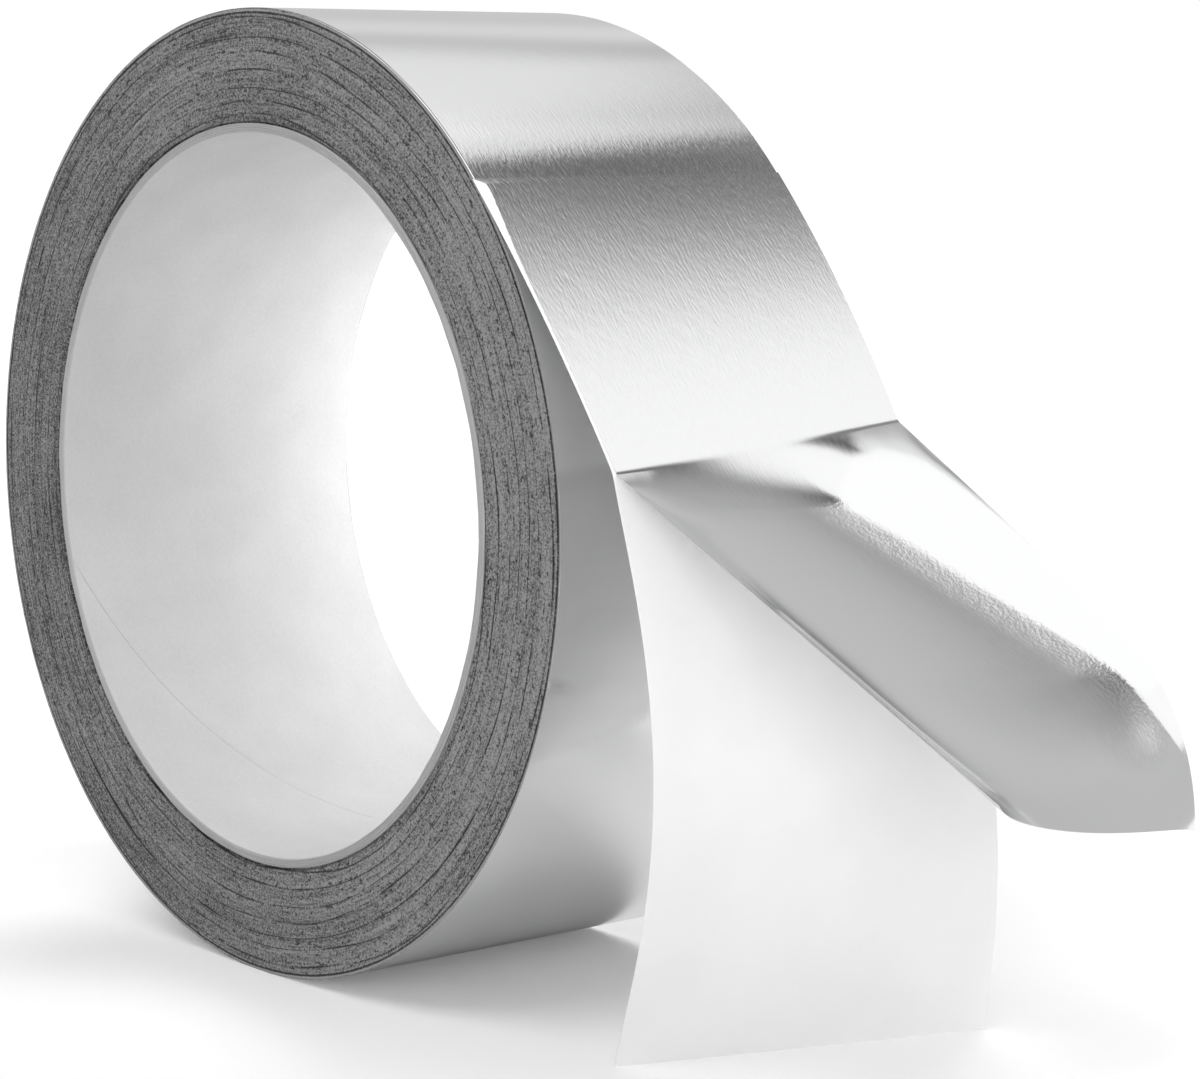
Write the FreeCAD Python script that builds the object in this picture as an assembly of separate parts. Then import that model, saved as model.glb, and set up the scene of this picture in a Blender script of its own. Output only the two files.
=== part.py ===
"""A roll of aluminium foil tape on a paper core, stood on its rim.

The outer turn leaves the roll over the top and comes down the front as a straight lead. At a fold
across the lead the foil is peeled outwards as a flap, and its release liner hangs on down to the table.

X points from the roll towards the free end, Y runs along the roll's axis, Z is up, and the origin is
the centre of the core's bore. The front edge of the tape is the one at low Y, the back edge at high Y.
Lengths are in millimetres and angles in degrees.
"""

import FreeCAD, Part

import math
import os

from FreeCAD import Vector

# The roll
BORE_RADIUS = 38.5  # a three-inch core, 77 mm across inside
CORE_WALL = 0.95
WOUND_DEPTH = 11.95  # from the core out to the last turn
TAPE_WIDTH = 40.0
FOIL_THICKNESS = 0.08  # the foil with its adhesive
LINER_THICKNESS = 0.08

# The lead, from where it leaves the roll to the fold: nearly straight, and a little twisted
LEAVE_ANGLE = 48.0  # from the top of the roll to where the last turn leaves it
LEAD_FRONT_RADIUS = 245.0  # the front edge's easy arc
LEAD_BACK_RADIUS = 150.0
LEAD_FRONT_LENGTH = 34.2
LEAD_BACK_LENGTH = 30.5

# The foil's flap, beyond the fold
FOIL_LENGTH = 86.8  # along the free foil, from the roll to its cut end
FLAP_FRONT_SLOPE = 27.0  # fall of the straight front edge
FLAP_FRONT_DRIFT = 3.1  # its turn towards the back edge
FLAP_BACK_SLOPE = 30.0  # fall of the back edge before it droops
FLAP_BACK_STRAIGHT = 34.2
FLAP_BACK_INSET = 0.8  # how far the back edge has come in at the cut end
FLAP_DROOP_RADIUS = 21.3
FLAP_SAG = 1.4  # dip across the flap, at its cut end
FLAP_SAG_PLACE = 0.38  # where the dip is deepest, from the front edge (0) to the back edge (1)
VALLEY_DEPTH = 2.7  # a soft second fold crosses the flap at a slant, and its floor lies this low
VALLEY_START = 0.6  # its place across the flap at the first fold
VALLEY_SLANT = 0.43  # how far across it moves over the flap's length
VALLEY_END = 0.9  # how far along the flap it dies out
VALLEY_RISE = 0.12  # how far along the flap it reaches its depth
VALLEY_ROUNDING = 0.28

# The liner's hanging part, below the fold
LINER_FOOT = 2.3  # how far its cut end stands out beyond the fold
LINER_TWIST = 20.0  # turn of the cut end about Z
LINER_DRIFT = 4.1  # shift of the cut end towards the back
LINER_BULGE = 6.1  # bow away from the roll
LINER_BULGE_SHAPE = 1.2

# Rows along and columns across the grids that the thin sheets are drawn through
LEAD_GRID = (6, 4)
FLAP_GRID = (24, 16)
LINER_GRID = (10, 8)
SEWING_TOLERANCE = 0.001

CORE_RADIUS = BORE_RADIUS + CORE_WALL
ROLL_RADIUS = CORE_RADIUS + WOUND_DEPTH
TURN_THICKNESS = FOIL_THICKNESS + LINER_THICKNESS
FRONT = -TAPE_WIDTH / 2
BACK = TAPE_WIDTH / 2
AXIS = Vector(0, 1, 0)


def outward(angle):
    """The unit vector that points out of the roll at an angle from the top, turning towards +X."""
    turn = math.radians(angle)
    return Vector(math.sin(turn), 0, math.cos(turn))


def tube(inner, outer):
    """A tube as long as the tape is wide."""
    start = AXIS * FRONT
    bar = Part.makeCylinder(outer, TAPE_WIDTH, start, AXIS)
    return bar.cut(Part.makeCylinder(inner, TAPE_WIDTH, start, AXIS))


def spiral_quarters():
    """Centres, radii and angles of the four quarter turns that carry the last turn round the roll.

    They start where the tape leaves the roll and go back over the top. Each has a quarter of a turn's
    thickness less radius than the one before, so the outline ends one thickness further in.
    """
    step = TURN_THICKNESS / 4
    centre = outward(LEAVE_ANGLE) * (step / 2)
    radius = ROLL_RADIUS - step / 2
    quarters = []
    for number in range(4):
        start_angle = LEAVE_ANGLE - 90 * number
        end_angle = start_angle - 90
        quarters.append((centre, radius, start_angle, end_angle))
        centre = centre + outward(end_angle) * step
        radius = radius - step
    return quarters


def quarter_edge(centre, radius, start_angle, end_angle):
    """One quarter turn as an edge in the XZ plane."""
    middle_angle = (start_angle + end_angle) / 2
    points = [centre + outward(angle) * radius for angle in (start_angle, middle_angle, end_angle)]
    return Part.Arc(*points).toShape()


def table_height():
    """The height of the table, which is the lowest point of the roll."""
    heights = []
    for centre, radius, start_angle, end_angle in spiral_quarters():
        if end_angle <= -180 <= start_angle:
            heights.append(centre.z - radius)
    return min(heights)


def tape_roll():
    """All the turns wound on the core, as one solid that steps down where the last turn leaves it."""
    edges = [quarter_edge(*quarter) for quarter in spiral_quarters()]
    first = edges[0].firstVertex(True).Point
    last = edges[-1].lastVertex(True).Point
    disc = Part.Face(Part.Wire(edges + [Part.makeLine(last, first)]))
    disc.translate(AXIS * FRONT)
    wound = disc.extrude(AXIS * TAPE_WIDTH)
    return wound.cut(Part.makeCylinder(CORE_RADIUS, TAPE_WIDTH, AXIS * FRONT, AXIS))


def grid(point, size):
    """Points over a sheet, in rows along it and columns across it."""
    rows, columns = size
    return [[point(i / rows, j / columns) for j in range(columns + 1)] for i in range(rows + 1)]


def lowered(points, depth, first_normal=None, last_normal=None):
    """The same grid moved down square to the sheet; the two end rows can be given their own normal."""
    last_row = len(points) - 1
    last_column = len(points[0]) - 1
    below = []
    for i in range(last_row + 1):
        row = []
        for j in range(last_column + 1):
            along = points[min(i + 1, last_row)][j] - points[max(i - 1, 0)][j]
            across = points[i][min(j + 1, last_column)] - points[i][max(j - 1, 0)]
            normal = along.cross(across).normalize()
            if i == 0 and first_normal:
                normal = first_normal
            if i == last_row and last_normal:
                normal = last_normal
            row.append(points[i][j] - normal * depth)
        below.append(row)
    return below


def skin(points):
    """A smooth surface through a grid of points."""
    surface = Part.BSplineSurface()
    surface.interpolate(points)
    return surface


def rim_edges(surface):
    """The four edges of a surface."""
    u_start, u_end, v_start, v_end = surface.bounds()
    curves = (surface.uIso(u_start), surface.uIso(u_end), surface.vIso(v_start), surface.vIso(v_end))
    return [curve.toShape() for curve in curves]


def thin_sheet(upper_points, lower_points):
    """A closed solid between two skins that lie close together."""
    upper = skin(upper_points)
    lower = skin(lower_points)
    faces = [upper.toShape(), lower.toShape()]
    for upper_edge, lower_edge in zip(rim_edges(upper), rim_edges(lower)):
        faces.append(Part.makeRuledSurface(upper_edge, lower_edge))
    sewn = Part.makeCompound(faces)
    sewn.sewShape(SEWING_TOLERANCE)
    solid = Part.Solid(sewn.Shells[0])
    if solid.Volume < 0:
        solid.reverse()
    return solid


def lead_edge(radius, length, y):
    """A point on an edge of the lead, a length along it from the roll."""
    centre = outward(LEAVE_ANGLE) * (ROLL_RADIUS - radius)
    angle = LEAVE_ANGLE + math.degrees(length / radius)
    return centre + outward(angle) * radius + AXIS * y


def lead_point(along, across):
    """A point on the lead's outer skin, from the roll (0) to the fold (1)."""
    front = lead_edge(LEAD_FRONT_RADIUS, along * LEAD_FRONT_LENGTH, FRONT)
    back = lead_edge(LEAD_BACK_RADIUS, along * LEAD_BACK_LENGTH, BACK)
    return front + (back - front) * across


def fold_normal():
    """The lead's normal at the fold, halfway across."""
    front_turn = math.degrees(LEAD_FRONT_LENGTH / LEAD_FRONT_RADIUS)
    back_turn = math.degrees(LEAD_BACK_LENGTH / LEAD_BACK_RADIUS)
    return outward(LEAVE_ANGLE + (front_turn + back_turn) / 2)


def fold_point(across, depth):
    """A point on the fold, from the front edge (0) to the back edge (1), below the outer skin."""
    return lead_point(1, across) - fold_normal() * depth


def lead(top, bottom):
    """One layer of the lead, between two depths below its outer skin."""
    points = grid(lead_point, LEAD_GRID)
    upper_points = lowered(points, top, outward(LEAVE_ANGLE), fold_normal())
    lower_points = lowered(points, bottom, outward(LEAVE_ANGLE), fold_normal())
    return thin_sheet(upper_points, lower_points)


def hump(position, place):
    """A smooth curve that is 0 at both edges and 1 at its place."""
    rise = 2 * place
    fall = 2 * (1 - place)
    return (position / place) ** rise * ((1 - position) / (1 - place)) ** fall


def roof(position, place):
    """Two slopes that are 0 at both edges and meet at 1 at the place, with a rounded ridge."""
    if position <= place:
        height = position / place
    else:
        height = (1 - position) / (1 - place)
    return 1 - math.hypot(1 - height, VALLEY_ROUNDING) + VALLEY_ROUNDING * height


def flap_front_edge(along):
    """The flap's front edge, from the fold (0) to the cut end (1): straight, turned to the back."""
    slope = math.radians(FLAP_FRONT_SLOPE)
    drift = math.radians(FLAP_FRONT_DRIFT)
    level = math.cos(slope)
    direction = Vector(level * math.cos(drift), level * math.sin(drift), -math.sin(slope))
    return fold_point(0, 0) + direction * (along * (FOIL_LENGTH - LEAD_FRONT_LENGTH))


def flap_back_edge(along):
    """The flap's back edge: straight at first, then drooping round an arc."""
    slope = math.radians(FLAP_BACK_SLOPE)
    length = along * (FOIL_LENGTH - LEAD_BACK_LENGTH)
    straight = min(length, FLAP_BACK_STRAIGHT)
    turned = slope + (length - straight) / FLAP_DROOP_RADIUS
    x = straight * math.cos(slope) + FLAP_DROOP_RADIUS * (math.sin(turned) - math.sin(slope))
    z = -straight * math.sin(slope) - FLAP_DROOP_RADIUS * (math.cos(slope) - math.cos(turned))
    return fold_point(1, 0) + Vector(x, -FLAP_BACK_INSET * along ** 2, z)


def valley_depth(along, across):
    """How far the slanting fold lowers a point of the flap."""
    if along >= VALLEY_END:
        return 0.0
    place = VALLEY_START + VALLEY_SLANT * along
    start = math.sin(math.pi / 2 * min(along / VALLEY_RISE, 1))
    return VALLEY_DEPTH * start * (1 - (along / VALLEY_END) ** 3) * roof(across, place)


def flap_point(along, across):
    """A point on the flap's outer skin, from the fold (0) to the cut end (1)."""
    front = flap_front_edge(along)
    back = flap_back_edge(along)
    square_up = outward((FLAP_FRONT_SLOPE + FLAP_BACK_SLOPE) / 2)
    dip = FLAP_SAG * along * hump(across, FLAP_SAG_PLACE)
    return front + (back - front) * across - square_up * (valley_depth(along, across) + dip)


def foil_end():
    """The free end of the foil: the lead's upper layer, then the flap beyond the fold."""
    points = grid(flap_point, FLAP_GRID)
    flap = thin_sheet(points, lowered(points, FOIL_THICKNESS, fold_normal()))
    return lead(0, FOIL_THICKNESS).fuse(flap)


def liner_point(down, across):
    """A point on the outer skin of the hanging liner, from the fold (0) to the table (1)."""
    fold = fold_point(across, FOIL_THICKNESS)
    fold_middle = fold_point(0.5, FOIL_THICKNESS)
    turn = math.radians(LINER_TWIST) * down
    reach = (across - 0.5) * TAPE_WIDTH
    bow = LINER_BULGE * (4 * down * (1 - down)) ** LINER_BULGE_SHAPE
    x = fold.x * (1 - down) + (fold_middle.x + LINER_FOOT) * down + bow + reach * math.sin(turn)
    y = LINER_DRIFT * down + reach * math.cos(turn)
    z = fold.z * (1 - down) + table_height() * down
    return Vector(x, y, z)


def liner_end():
    """The free end of the liner: the lead's lower layer, then the part that hangs to the table."""
    points = grid(liner_point, LINER_GRID)
    hanging = thin_sheet(points, lowered(points, LINER_THICKNESS, fold_normal()))
    return lead(FOIL_THICKNESS, TURN_THICKNESS).fuse(hanging)


def main():
    os.makedirs("parts", exist_ok=True)
    parts = {
        "core": tube(BORE_RADIUS, CORE_RADIUS),
        "tape_roll": tape_roll(),
        "foil_end": foil_end(),
        "liner_end": liner_end(),
    }
    for name, shape in parts.items():
        shape.exportStep("parts/%s.step" % name)
        box = shape.BoundBox
        print(name, "solids", len(shape.Solids), "valid", shape.isValid(), "volume %.1f" % shape.Volume)
        print("    x %.2f to %.2f, y %.2f to %.2f, z %.3f to %.2f"
              % (box.XMin, box.XMax, box.YMin, box.YMax, box.ZMin, box.ZMax))


main()
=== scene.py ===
# %% [markdown]
# # A roll of aluminium foil tape
#
# Foil tape is soft aluminium foil with glue on its back, kept from sticking by a white paper liner.
# Some seventy turns of the two are wound on a cardboard core. Here the last turn has left the roll:
# the foil is peeled up at a fold, and the liner hangs on down to the table and props the roll.
#
# The model is built in four pieces: the core, the wound tape, the free foil and the hanging liner.
# All of them are meshes made in code, because the fine things that make foil look like foil (its bent
# edges, its crumpled fold, the lines of the wound turns) follow rules that are easy to write down.

import math

import bmesh
import bpy
from mathutils import Matrix, Vector, noise


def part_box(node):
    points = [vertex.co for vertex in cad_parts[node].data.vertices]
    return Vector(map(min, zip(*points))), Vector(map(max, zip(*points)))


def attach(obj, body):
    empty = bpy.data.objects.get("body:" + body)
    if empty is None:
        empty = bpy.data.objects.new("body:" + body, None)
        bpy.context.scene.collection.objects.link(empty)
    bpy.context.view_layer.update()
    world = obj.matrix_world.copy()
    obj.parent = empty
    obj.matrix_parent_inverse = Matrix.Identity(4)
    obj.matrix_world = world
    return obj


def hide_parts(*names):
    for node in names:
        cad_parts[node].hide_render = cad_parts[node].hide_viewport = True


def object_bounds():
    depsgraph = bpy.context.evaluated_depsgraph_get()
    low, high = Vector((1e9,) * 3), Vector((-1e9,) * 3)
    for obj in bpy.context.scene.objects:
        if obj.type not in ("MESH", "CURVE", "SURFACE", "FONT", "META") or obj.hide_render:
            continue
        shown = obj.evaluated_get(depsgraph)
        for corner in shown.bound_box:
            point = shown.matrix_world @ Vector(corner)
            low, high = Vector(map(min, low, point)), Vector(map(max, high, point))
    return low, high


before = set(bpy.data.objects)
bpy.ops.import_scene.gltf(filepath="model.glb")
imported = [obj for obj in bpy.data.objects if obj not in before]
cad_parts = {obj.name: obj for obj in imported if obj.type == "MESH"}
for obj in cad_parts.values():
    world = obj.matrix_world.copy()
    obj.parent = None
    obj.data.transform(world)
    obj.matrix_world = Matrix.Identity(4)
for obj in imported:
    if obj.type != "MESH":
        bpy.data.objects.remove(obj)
cad_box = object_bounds()
print("frame", sorted(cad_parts), "from", cad_box[0][:], "to", cad_box[1][:])

# %% [markdown]
# ## Sizes
#
# The sizes are the ones the solid model was built with, in millimetres, because a tape that is 0.08 mm
# thick is easier to think about in them. Each finished piece is scaled to metres once, at its end. The
# origin is the centre of the bore, Y runs along the roll's axis and the near edge is at low Y.

# %% Sizes
MM = 0.001
BORE_RADIUS = 38.5
CORE_WALL = 0.95
WOUND_DEPTH = 11.95
TAPE_WIDTH = 40.0
FOIL_THICKNESS = 0.08
LINER_THICKNESS = 0.08
CORE_RADIUS = BORE_RADIUS + CORE_WALL
ROLL_RADIUS = CORE_RADIUS + WOUND_DEPTH
TURN_THICKNESS = FOIL_THICKNESS + LINER_THICKNESS
TURNS = int(WOUND_DEPTH / TURN_THICKNESS)
FRONT = -TAPE_WIDTH / 2
BACK = TAPE_WIDTH / 2
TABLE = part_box("tape_roll")[0].z / MM
print("turns", TURNS, "table at %.3f mm" % TABLE)

# %% [markdown]
# ## The camera
#
# The roll is seen from in front and to its right, a little above the table, through a long lens that
# keeps the two rims of the roll nearly parallel.

# %% Camera
CAMERA_TURN = -39.97  # round the object from +X, in degrees
CAMERA_RISE = 7.363
CAMERA_DISTANCE = 354.2
CAMERA_LENS = 103.754


def bearing(turn, rise):
    """The unit vector that points to a place round and above the object, in degrees."""
    turn, rise = math.radians(turn), math.radians(rise)
    return Vector((math.cos(turn) * math.cos(rise), math.sin(turn) * math.cos(rise), math.sin(rise)))


box_middle = (cad_box[0] + cad_box[1]) / 2
camera_target = box_middle + Vector((5.95, -1.46, -2.85)) * MM
camera_data = bpy.data.cameras.new("camera")
camera_data.lens = CAMERA_LENS
camera_data.sensor_width = 36
camera_data.clip_start = 0.01
camera = bpy.data.objects.new("camera", camera_data)
bpy.context.scene.collection.objects.link(camera)
camera.location = camera_target + bearing(CAMERA_TURN, CAMERA_RISE) * CAMERA_DISTANCE * MM
camera.rotation_euler = (camera_target - camera.location).to_track_quat("-Z", "Y").to_euler()
bpy.context.scene.camera = camera
bpy.context.scene.view_settings.view_transform = "Standard"
print("camera at", [round(x / MM, 1) for x in camera.location])

# %% [markdown]
# ## Making materials with nodes
#
# Every finish is a small network of shader nodes. Writing one in code means adding nodes, setting a few
# of their inputs and joining them, so a few short helpers keep the recipes readable. They could be
# node groups instead, but a function can be read from top to bottom.

# %% Node helpers


def new_material(name):
    """A material with an empty Principled shader, and its node tree."""
    material = bpy.data.materials.new(name)
    material.use_nodes = True
    tree = material.node_tree
    return material, tree, tree.nodes["Principled BSDF"]


def add(tree, kind, inputs=(), **settings):
    """Adds a node, sets its properties, and sets or joins its inputs by name or number."""
    made = tree.nodes.new("ShaderNode" + kind)
    for name, value in settings.items():
        setattr(made, name, value)
    for name, value in dict(inputs).items():
        if isinstance(value, bpy.types.NodeSocket):
            tree.links.new(value, made.inputs[name])
        else:
            made.inputs[name].default_value = value
    return made


def calculate(tree, operation, *values):
    """A Math node's result."""
    return add(tree, "Math", dict(enumerate(values)), operation=operation).outputs[0]


def product(tree, first, second):
    """One value times another."""
    return calculate(tree, "MULTIPLY", first, second)


def total(tree, *values):
    """The sum of a few values."""
    result = values[0]
    for value in values[1:]:
        result = calculate(tree, "ADD", result, value)
    return result


def remap(tree, value, old_low, old_high, new_low=0.0, new_high=1.0, kind="LINEAR"):
    """A value carried from one range to another, and held at its ends."""
    inputs = {0: value, 1: old_low, 2: old_high, 3: new_low, 4: new_high}
    return add(tree, "MapRange", inputs, interpolation_type=kind).outputs[0]


def stretched_noise(tree, coordinates, scale, detail=2.0, roughness=0.5):
    """Noise whose grains have a different size along each axis; scale is grains per metre."""
    stretched = add(tree, "Mapping", {"Vector": coordinates, "Scale": scale}).outputs[0]
    inputs = {"Vector": stretched, "Scale": 1.0, "Detail": detail, "Roughness": roughness}
    return add(tree, "TexNoise", inputs).outputs[0]


def bump(tree, height, distance, normal=None):
    """A Bump node's normal, for a height from 0 to 1 that stands for a distance in metres."""
    inputs = {"Height": height, "Distance": distance}
    if normal:
        inputs["Normal"] = normal
    return add(tree, "Bump", inputs).outputs[0]


def ramp(tree, value, low, high, stops):
    """A grey that changes with a value through a few stops."""
    made = add(tree, "ValToRGB", {0: remap(tree, value, low, high)})
    elements = made.color_ramp.elements
    while len(elements) < len(stops):
        elements.new(0.5)
    for element, (place, grey) in zip(elements, stops):
        element.position = (place - low) / (high - low)
        element.color = (grey, grey, grey, 1)
    return made.outputs[0]


def blend(tree, share, first, second):
    """The first value where the share is 0 and the second where it is 1."""
    return add(tree, "Mix", {0: share, 2: first, 3: second}).outputs[0]


def grey_colour(tree, grey):
    """A colour with the same amount of red, green and blue."""
    return add(tree, "CombineColor", {0: grey, 1: grey, 2: grey}).outputs[0]


print("helpers for", bpy.app.version_string)

# %% [markdown]
# ## The studio
#
# White paper and grey tape edges take their shade from plain soft light. Foil is different: it is a
# mirror, and what is seen on it is the room. So the room is drawn for it, as a photographer does with
# soft boxes and dark cards: a wide white light behind the roll that ends in a sharp upright edge, a
# dark gap, and another light on the right. A world shader can give glossy rays this room, by the
# direction in which they leave, and give everything else an even light.

# %% The room that the foil reflects
DAYLIGHT = 0.02  # the even light that falls on matt surfaces
DEGREES = 180 / math.pi  # in one radian
HIGHEST_BORDER = 60  # of the grey wall, as a rise in degrees

world = bpy.data.worlds.new("studio")
world.use_nodes = True
world.cycles.sampling_method = "NONE"
bpy.context.scene.world = world
studio = world.node_tree
background = studio.nodes["Background"]
direction = add(studio, "TexCoord").outputs["Generated"]
axes = add(studio, "SeparateXYZ", {0: direction})
turn = product(studio, calculate(studio, "ARCTAN2", axes.outputs[1], axes.outputs[0]), DEGREES)
rise = product(studio, calculate(studio, "ARCSINE", axes.outputs[2]), DEGREES)

# behind the roll: a wide light on the left with a sharp leaning edge, a dark gap, a light on the right
edge_turn = remap(studio, rise, 48, 52.7, 97, 85)
in_wide_light = remap(studio, calculate(studio, "SUBTRACT", turn, edge_turn), -2.5, 2.5, 0, 1, "SMOOTHSTEP")
gap_and_right = ramp(studio, turn, -180, 180, [
    (-180, 0.66), (-120, 0.80), (-75, 0.35), (-40, 0.55), (0, 0.9), (25, 1.06), (66, 1.02),
    (69, 0.88), (72, 0.52), (76, 0.28), (79, 0.18), (83, 0.105), (98, 0.095),
])
wide_light = ramp(studio, rise, 0, 60, [(0, 0.62), (12, 0.74), (38, 0.79), (50, 0.82), (60, 0.82)])
lights = blend(studio, in_wide_light, gap_and_right, wide_light)

# under the lights stands a grey wall; its upper border climbs from the right and falls again on the left
wall = ramp(studio, turn, -180, 180, [
    (-180, 0.68), (-130, 0.8), (-80, 0.4), (-30, 0.6), (40, 0.6),
    (62, 0.54), (121, 0.54), (127, 0.62), (132, 0.72), (180, 0.7),
])
wall = product(studio, wall, remap(studio, rise, 32, 39, 1, 0.85))
border = product(studio, HIGHEST_BORDER, ramp(studio, turn, -180, 180, [
    (-180, 0.2), (50, 0.2), (62, 0.33), (70, 0.50), (80, 0.69), (88, 0.75),
    (105, 0.75), (112, 0.70), (118, 0.645), (124, 0.58), (180, 0.5),
]))
from_border = calculate(studio, "SUBTRACT", rise, border)
wall = product(studio, wall, remap(studio, from_border, -6.5, -2.5, 1, 0.76))
over_wall = remap(studio, from_border, -2.5, 6, 0, 1, "SMOOTHSTEP")
room = blend(studio, over_wall, wall, lights)

# near the table the room is a little darker, and overhead hangs one more white light
near_table = ramp(studio, turn, -180, 180, [
    (-180, 0.66), (-130, 0.7), (-80, 0.4), (-30, 0.55), (40, 0.55), (70, 0.53),
    (110, 0.50), (115, 0.40), (119, 0.16), (127, 0.14), (134, 0.58), (180, 0.62),
])
room = blend(studio, remap(studio, rise, 17, 27, 0, 1, "SMOOTHSTEP"), near_table, room)
ceiling = remap(studio, turn, 90, 98, 54, 51.5)
over_ceiling = remap(studio, calculate(studio, "SUBTRACT", rise, ceiling), 0, 2.5, 0, 1, "SMOOTHSTEP")
room = blend(studio, over_ceiling, room, 1.08)

rays = add(studio, "LightPath").outputs
shown = calculate(studio, "MAXIMUM", rays["Is Camera Ray"], rays["Is Transmission Ray"])
strength = blend(studio, rays["Is Glossy Ray"], DAYLIGHT, room)
strength = blend(studio, shown, strength, 1.0)
background.inputs["Color"].default_value = (1, 1, 1, 1)
studio.links.new(strength, background.inputs["Strength"])
print("world nodes", len(studio.nodes))

# %% [markdown]
# ## Lamps
#
# Six suns with wide discs stand in for large soft boxes. Two behind the roll throw its soft shadow to
# the front, one stands on the right, and three fill the front from high, middle and low. Area lamps
# would do too, but a sun is as bright at the far end of the roll as at the near one. The foil mirrors
# the drawn room alone, so no lamp shows in it.

# %% Lamps
SUN_WIDTH = 35  # the angle that each sun's disc covers, in degrees


def add_lamp(name, data, facing):
    """A lamp that shines against the direction it faces; the foil doesn't mirror it."""
    lamp = bpy.data.objects.new(name, data)
    lamp.rotation_euler = facing.to_track_quat("Z", "Y").to_euler()
    lamp.visible_glossy = False
    bpy.context.scene.collection.objects.link(lamp)
    return lamp


def sun(name, turn, rise, strength):
    """A sun that shines from a bearing."""
    data = bpy.data.lights.new(name, "SUN")
    data.energy = strength
    data.angle = math.radians(SUN_WIDTH)
    add_lamp(name, data, bearing(turn, rise))


sun("back_left_light", 130, 48, 1.15)
sun("back_light", 100, 48, 0.65)
sun("right_light", 10, 60, 1.1)
sun("high_front_light", -70, 60, 1.3)
sun("front_light", -70, 35, 0.45)
sun("low_front_light", -45, 12, 1.3)
print("suns", len(bpy.data.lights))

# %% [markdown]
# The bore is a short tunnel that the suns reach only in part. One small lamp behind the roll lightens
# its left wall, as light from the open side of a room would.

# %% A small lamp behind the bore
BORE_LIGHT_SIZE = 20.0
BORE_LIGHT_POWER = 0.02  # watts
BORE_LIGHT_PLACE = Vector((-10, 40, 5))
BORE_LIGHT_FACING = Vector((28, 30, 5))

bore_light = bpy.data.lights.new("bore_light", "AREA")
bore_light.size = BORE_LIGHT_SIZE * MM
bore_light.energy = BORE_LIGHT_POWER
lamp = add_lamp("bore_light", bore_light, BORE_LIGHT_FACING)
lamp.location = BORE_LIGHT_PLACE * MM
lamp.visible_camera = False

# %% [markdown]
# ## The table
#
# The table is a plain pale sheet that meets the white background without a line. Most of its light
# comes from the lamps, so the roll leaves its soft shadow, and a little glow brings the open part up
# to white. The glow is there only where the table itself is seen: nothing is lit by it, and the foil
# mirrors the table without it.

# %% Table
TABLE_SIZE = 6.0  # in metres
TABLE_COLOUR = 0.80
TABLE_GLOW = 0.13

mesh = bpy.data.meshes.new("table")
shape = bmesh.new()
bmesh.ops.create_grid(shape, x_segments=4, y_segments=4, size=TABLE_SIZE / 2)
bmesh.ops.translate(shape, verts=shape.verts[:], vec=(0, 0, TABLE * MM))
shape.to_mesh(mesh)
shape.free()
table = bpy.data.objects.new("table", mesh)
bpy.context.scene.collection.objects.link(table)

table_finish, tree, shader = new_material("pale_table")
shader.inputs["Base Color"].default_value = (TABLE_COLOUR, TABLE_COLOUR, TABLE_COLOUR, 1)
shader.inputs["Roughness"].default_value = 1.0
shader.inputs["Specular IOR Level"].default_value = 0.0
rays = add(tree, "LightPath").outputs
seen = calculate(tree, "MAXIMUM", rays["Is Camera Ray"], rays["Is Transmission Ray"])
shader.inputs["Emission Color"].default_value = (1, 1, 1, 1)
tree.links.new(product(tree, seen, TABLE_GLOW), shader.inputs["Emission Strength"])
table_finish.cycles.emission_sampling = "NONE"
mesh.materials.append(table_finish)
print("table", TABLE_SIZE, "m wide")

# %% [markdown]
# The flap's tip curls so far down that it would mirror the white table. A small grey card, standing on
# the table out of the camera's sight, is mirrored there instead. Only the foil sees it.

# %% A grey card behind the flap's tip
CARD_PLACE = (150.0, 168.0)
CARD_TURN = 72  # the direction from the roll that it faces, in degrees
CARD_SIZE = (120.0, 52.0)
CARD_GREY = 0.53

mesh = bpy.data.meshes.new("grey_card")
shape = bmesh.new()
facing = bearing(CARD_TURN, 0)
sideways = Vector((-facing.y, facing.x, 0)) * CARD_SIZE[0]
upwards = Vector((0, 0, CARD_SIZE[1]))
foot = Vector((CARD_PLACE[0], CARD_PLACE[1], TABLE + 0.2))
corners = [foot + sideways * x + upwards * z for x, z in ((-0.5, 0), (0.5, 0), (0.5, 1), (-0.5, 1))]
shape.faces.new([shape.verts.new(corner * MM) for corner in corners])
shape.to_mesh(mesh)
shape.free()
grey_card = bpy.data.objects.new("grey_card", mesh)
bpy.context.scene.collection.objects.link(grey_card)
grey_card.visible_camera = False
grey_card.visible_diffuse = False
grey_card.visible_shadow = False

card_finish, tree, shader = new_material("grey_card")
shader.inputs["Base Color"].default_value = (0, 0, 0, 1)
shader.inputs["Specular IOR Level"].default_value = 0.0
shader.inputs["Emission Color"].default_value = (1, 1, 1, 1)
shader.inputs["Emission Strength"].default_value = CARD_GREY
card_finish.cycles.emission_sampling = "NONE"
mesh.materials.append(card_finish)
print("grey card at", CARD_PLACE)

# %% [markdown]
# ## Shared shapes
#
# The turns of the roll, the lead that comes off it, the fold and the two free ends are all found with
# the same few functions, so the foil leaves the roll exactly where the roll's last turn stops.

# %% Where the tape leaves the roll
LEAVE_ANGLE = 48.0
LEAD_FRONT_RADIUS = 245.0
LEAD_BACK_RADIUS = 150.0
LEAD_FRONT_LENGTH = 34.2
LEAD_BACK_LENGTH = 30.5


def outward(angle):
    """The unit vector out of the roll at an angle in degrees from the top, turning towards +X."""
    angle = math.radians(angle)
    return Vector((math.sin(angle), 0, math.cos(angle)))


def angle_of(point):
    """The angle of a point round the roll, in degrees from the top."""
    return math.degrees(math.atan2(point.x, point.z))


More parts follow.
